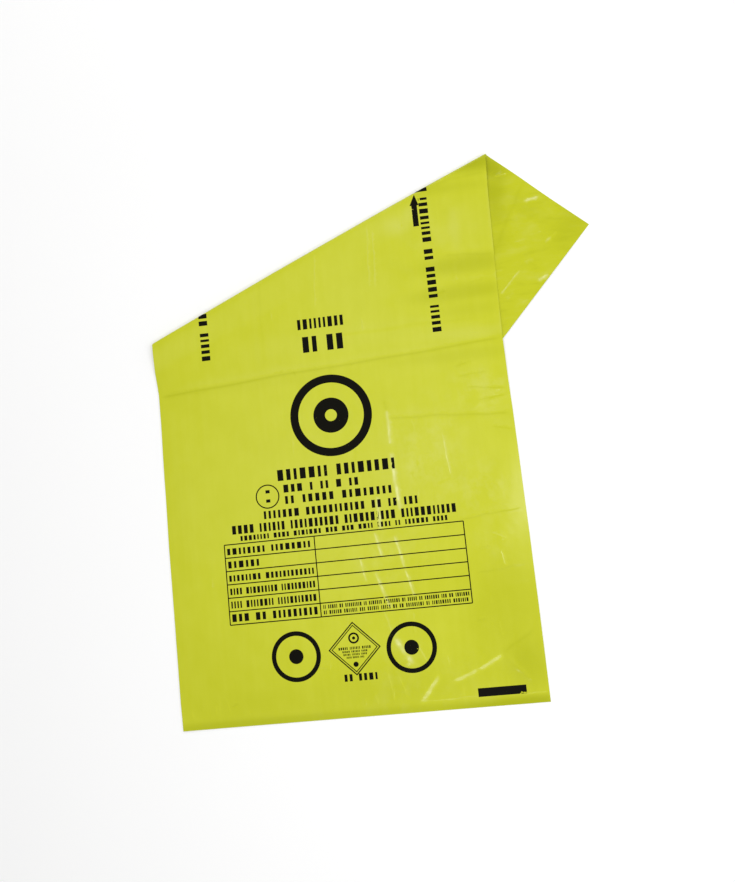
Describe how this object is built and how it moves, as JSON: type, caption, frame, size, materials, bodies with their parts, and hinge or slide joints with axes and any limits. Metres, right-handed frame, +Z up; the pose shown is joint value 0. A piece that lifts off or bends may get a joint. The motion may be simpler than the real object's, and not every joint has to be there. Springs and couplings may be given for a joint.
{
  "type": "biohazard waste bag",
  "caption": "Lay-flat tube of thin plastic film, welded across the bottom and open at the mouth, lying flat with its top folded behind it on a slant.",
  "frame": {"origin": "middle of the bag's outline, on the surface that it lies on", "axes": "+Z up out of the front panel, +Y from the bottom weld towards the fold, +X to the right across the front panel"},
  "size_m": [0.636, 0.767, 0.0081],
  "materials": {
    "film": "thin yellow blown film with a soft sheen, fine storage creases and black print"
  },
  "bodies": {
    "root": {"bag_film": "film"}
  },
  "joints": []
}
